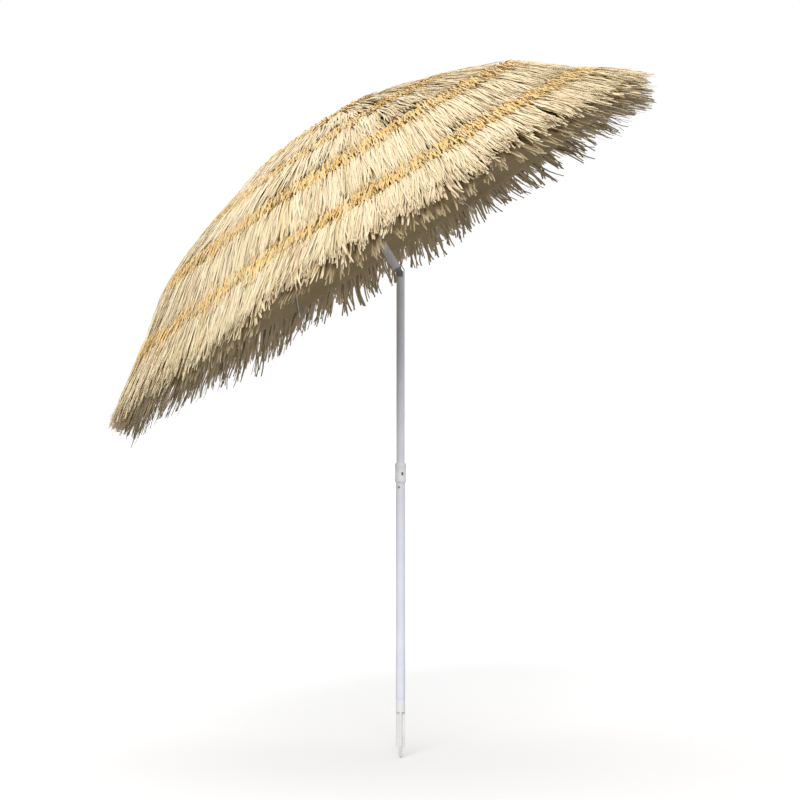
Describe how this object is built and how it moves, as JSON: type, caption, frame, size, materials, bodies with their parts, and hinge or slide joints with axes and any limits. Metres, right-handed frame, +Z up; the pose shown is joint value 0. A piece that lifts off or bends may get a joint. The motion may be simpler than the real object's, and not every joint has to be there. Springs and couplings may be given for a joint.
{
  "type": "thatched beach umbrella",
  "caption": "Beach umbrella with a raffia-thatched canopy, folding ribs with runner, tilt joint, telescoping steel pole and ground spike.",
  "frame": {"origin": "on the pole's axis at the foot of the lower steel tube, where the plastic ground spike begins; it is the lower end of the stretch of tube that a ground socket or base holds", "axes": "+Z up along the pole, -Y towards the viewer of the front, +X to the viewer's right; the canopy leans towards -X at rest"},
  "size_m": [1.4371, 1.6852, 1.8322],
  "materials": {
    "powder_coat": "satin",
    "spike_plastic": "satin",
    "white_plastic": "satin",
    "dark_plastic": "matte",
    "dark_steel": "satin",
    "rib_steel": "satin",
    "canopy_fabric": "matte",
    "raffia": "matte"
  },
  "bodies": {
    "base": {"ground_spike": "spike_plastic", "lower_pole": "powder_coat", "pole_collar": "white_plastic", "pole_rivet": "dark_steel"},
    "lock_button": {"lock_button": "dark_plastic"},
    "mast": {"upper_pole": "powder_coat", "upper_glide": "white_plastic", "tilt_fork": "dark_steel", "tilt_pin": "dark_steel"},
    "head": {"tilt_tongue": "dark_steel", "canopy_pole": "powder_coat", "top_notch": "white_plastic", "notch_wire": "dark_steel", "finial": "white_plastic", "crown_thatch": "raffia"},
    "runner": {"runner": "white_plastic"},
    "rib_1": {"rib_1": "rib_steel", "rib_tip_1": "white_plastic", "fabric_1": "canopy_fabric", "thatch_1": "raffia"},
    "stretcher_1": {"stretcher_1": "rib_steel"},
    "rib_2": {"rib_2": "rib_steel", "rib_tip_2": "white_plastic", "fabric_2": "canopy_fabric", "thatch_2": "raffia"},
    "stretcher_2": {"stretcher_2": "rib_steel"},
    "rib_3": {"rib_3": "rib_steel", "rib_tip_3": "white_plastic", "fabric_3": "canopy_fabric", "thatch_3": "raffia"},
    "stretcher_3": {"stretcher_3": "rib_steel"},
    "rib_4": {"rib_4": "rib_steel", "rib_tip_4": "white_plastic", "fabric_4": "canopy_fabric", "thatch_4": "raffia"},
    "stretcher_4": {"stretcher_4": "rib_steel"},
    "rib_5": {"rib_5": "rib_steel", "rib_tip_5": "white_plastic", "fabric_5": "canopy_fabric", "thatch_5": "raffia"},
    "stretcher_5": {"stretcher_5": "rib_steel"},
    "rib_6": {"rib_6": "rib_steel", "rib_tip_6": "white_plastic", "fabric_6": "canopy_fabric", "thatch_6": "raffia"},
    "stretcher_6": {"stretcher_6": "rib_steel"},
    "rib_7": {"rib_7": "rib_steel", "rib_tip_7": "white_plastic", "fabric_7": "canopy_fabric", "thatch_7": "raffia"},
    "stretcher_7": {"stretcher_7": "rib_steel"},
    "rib_8": {"rib_8": "rib_steel", "rib_tip_8": "white_plastic", "fabric_8": "canopy_fabric", "thatch_8": "raffia"},
    "stretcher_8": {"stretcher_8": "rib_steel"}
  },
  "joints": [
    {"name": "mast_slide", "type": "slide", "parent": "base", "child": "mast", "axis": [0, 0, 1], "range_m": [-0.34, 0.08]},
    {"name": "lock_button_press", "type": "slide", "parent": "base", "child": "lock_button", "axis": [0, 1, 0], "range_m": [0, 0.0011], "stiffness_N_per_m": 400, "springref_m": -0.001},
    {"name": "tilt", "type": "hinge", "parent": "mast", "child": "head", "pos_m": [0, 0, 1.146], "axis": [0, 1, 0], "range_deg": [0, 31.5]},
    {"name": "canopy_fold", "type": "hinge", "parent": "head", "child": "rib_1", "pos_m": [-0.18907, 0.00765, 1.48989], "axis": [-0.3263, 0.9239, -0.2], "range_deg": [0, 66.2], "deforming": ["fabric_1", "thatch_1"]},
    {"name": "stretcher_1_fold", "type": "hinge", "parent": "rib_1", "child": "stretcher_1", "pos_m": [-0.04836, 0.06996, 1.54817], "axis": [0.3263, -0.9239, 0.2], "range_deg": [0, 109.9]},
    {"name": "rib_2_fold", "type": "hinge", "parent": "head", "child": "rib_2", "pos_m": [-0.19829, 0.01848, 1.48423], "axis": [-0.7877, 0.3827, -0.4827], "range_deg": [0, 66.3], "deforming": ["fabric_2", "thatch_2"]},
    {"name": "stretcher_2_fold", "type": "hinge", "parent": "rib_2", "child": "stretcher_2", "pos_m": [-0.13272, 0.1689, 1.49647], "axis": [0.7877, -0.3827, 0.4827], "range_deg": [0, 109.9]},
    {"name": "rib_3_fold", "type": "hinge", "parent": "head", "child": "rib_3", "pos_m": [-0.21135, 0.01848, 1.47624], "axis": [-0.7877, -0.3827, -0.4827], "range_deg": [0, 66.3], "deforming": ["fabric_3", "thatch_3"]},
    {"name": "stretcher_3_fold", "type": "hinge", "parent": "rib_3", "child": "stretcher_3", "pos_m": [-0.25202, 0.1689, 1.42336], "axis": [0.7877, 0.3827, 0.4827], "range_deg": [0, 109.9]},
    {"name": "rib_4_fold", "type": "hinge", "parent": "head", "child": "rib_4", "pos_m": [-0.22057, 0.00765, 1.47058], "axis": [-0.3263, -0.9239, -0.2], "range_deg": [0, 66.3], "deforming": ["fabric_4", "thatch_4"]},
    {"name": "stretcher_4_fold", "type": "hinge", "parent": "rib_4", "child": "stretcher_4", "pos_m": [-0.33638, 0.06996, 1.37167], "axis": [0.3263, 0.9239, 0.2], "range_deg": [0, 109.9]},
    {"name": "rib_5_fold", "type": "hinge", "parent": "head", "child": "rib_5", "pos_m": [-0.22057, -0.00765, 1.47058], "axis": [0.3263, -0.9239, 0.2], "range_deg": [0, 66.3], "deforming": ["fabric_5", "thatch_5"]},
    {"name": "stretcher_5_fold", "type": "hinge", "parent": "rib_5", "child": "stretcher_5", "pos_m": [-0.33638, -0.06996, 1.37167], "axis": [-0.3263, 0.9239, -0.2], "range_deg": [0, 109.9]},
    {"name": "rib_6_fold", "type": "hinge", "parent": "head", "child": "rib_6", "pos_m": [-0.21135, -0.01848, 1.47624], "axis": [0.7877, -0.3827, 0.4827], "range_deg": [0, 66.3], "deforming": ["fabric_6", "thatch_6"]},
    {"name": "stretcher_6_fold", "type": "hinge", "parent": "rib_6", "child": "stretcher_6", "pos_m": [-0.25202, -0.1689, 1.42336], "axis": [-0.7877, 0.3827, -0.4827], "range_deg": [0, 109.9]},
    {"name": "rib_7_fold", "type": "hinge", "parent": "head", "child": "rib_7", "pos_m": [-0.19829, -0.01848, 1.48423], "axis": [0.7877, 0.3827, 0.4827], "range_deg": [0, 66.3], "deforming": ["fabric_7", "thatch_7"]},
    {"name": "stretcher_7_fold", "type": "hinge", "parent": "rib_7", "child": "stretcher_7", "pos_m": [-0.13272, -0.1689, 1.49647], "axis": [-0.7877, -0.3827, -0.4827], "range_deg": [0, 109.9]},
    {"name": "rib_8_fold", "type": "hinge", "parent": "head", "child": "rib_8", "pos_m": [-0.18907, -0.00765, 1.48989], "axis": [0.3263, 0.9239, 0.2], "range_deg": [0, 66.3], "deforming": ["fabric_8", "thatch_8"]},
    {"name": "stretcher_8_fold", "type": "hinge", "parent": "rib_8", "child": "stretcher_8", "pos_m": [-0.04836, -0.06996, 1.54817], "axis": [-0.3263, -0.9239, -0.2], "range_deg": [0, 109.9]},
    {"name": "runner_slide", "type": "slide", "parent": "head", "child": "runner", "axis": [0.5225, 0, -0.8526], "range_m": [0, 0.2178]}
  ],
  "couplings": [
    {"joint": "stretcher_1_fold", "follows": "canopy_fold", "ratio": 1.6586},
    {"joint": "rib_2_fold", "follows": "canopy_fold", "ratio": 1},
    {"joint": "stretcher_2_fold", "follows": "canopy_fold", "ratio": 1.6586},
    {"joint": "rib_3_fold", "follows": "canopy_fold", "ratio": 1},
    {"joint": "stretcher_3_fold", "follows": "canopy_fold", "ratio": 1.6586},
    {"joint": "rib_4_fold", "follows": "canopy_fold", "ratio": 1},
    {"joint": "stretcher_4_fold", "follows": "canopy_fold", "ratio": 1.6586},
    {"joint": "rib_5_fold", "follows": "canopy_fold", "ratio": 1},
    {"joint": "stretcher_5_fold", "follows": "canopy_fold", "ratio": 1.6586},
    {"joint": "rib_6_fold", "follows": "canopy_fold", "ratio": 1},
    {"joint": "stretcher_6_fold", "follows": "canopy_fold", "ratio": 1.6586},
    {"joint": "rib_7_fold", "follows": "canopy_fold", "ratio": 1},
    {"joint": "stretcher_7_fold", "follows": "canopy_fold", "ratio": 1.6586},
    {"joint": "rib_8_fold", "follows": "canopy_fold", "ratio": 1},
    {"joint": "stretcher_8_fold", "follows": "canopy_fold", "ratio": 1.6586},
    {"joint": "runner_slide", "follows": "canopy_fold", "m_per_rad": 0.18817}
  ]
}
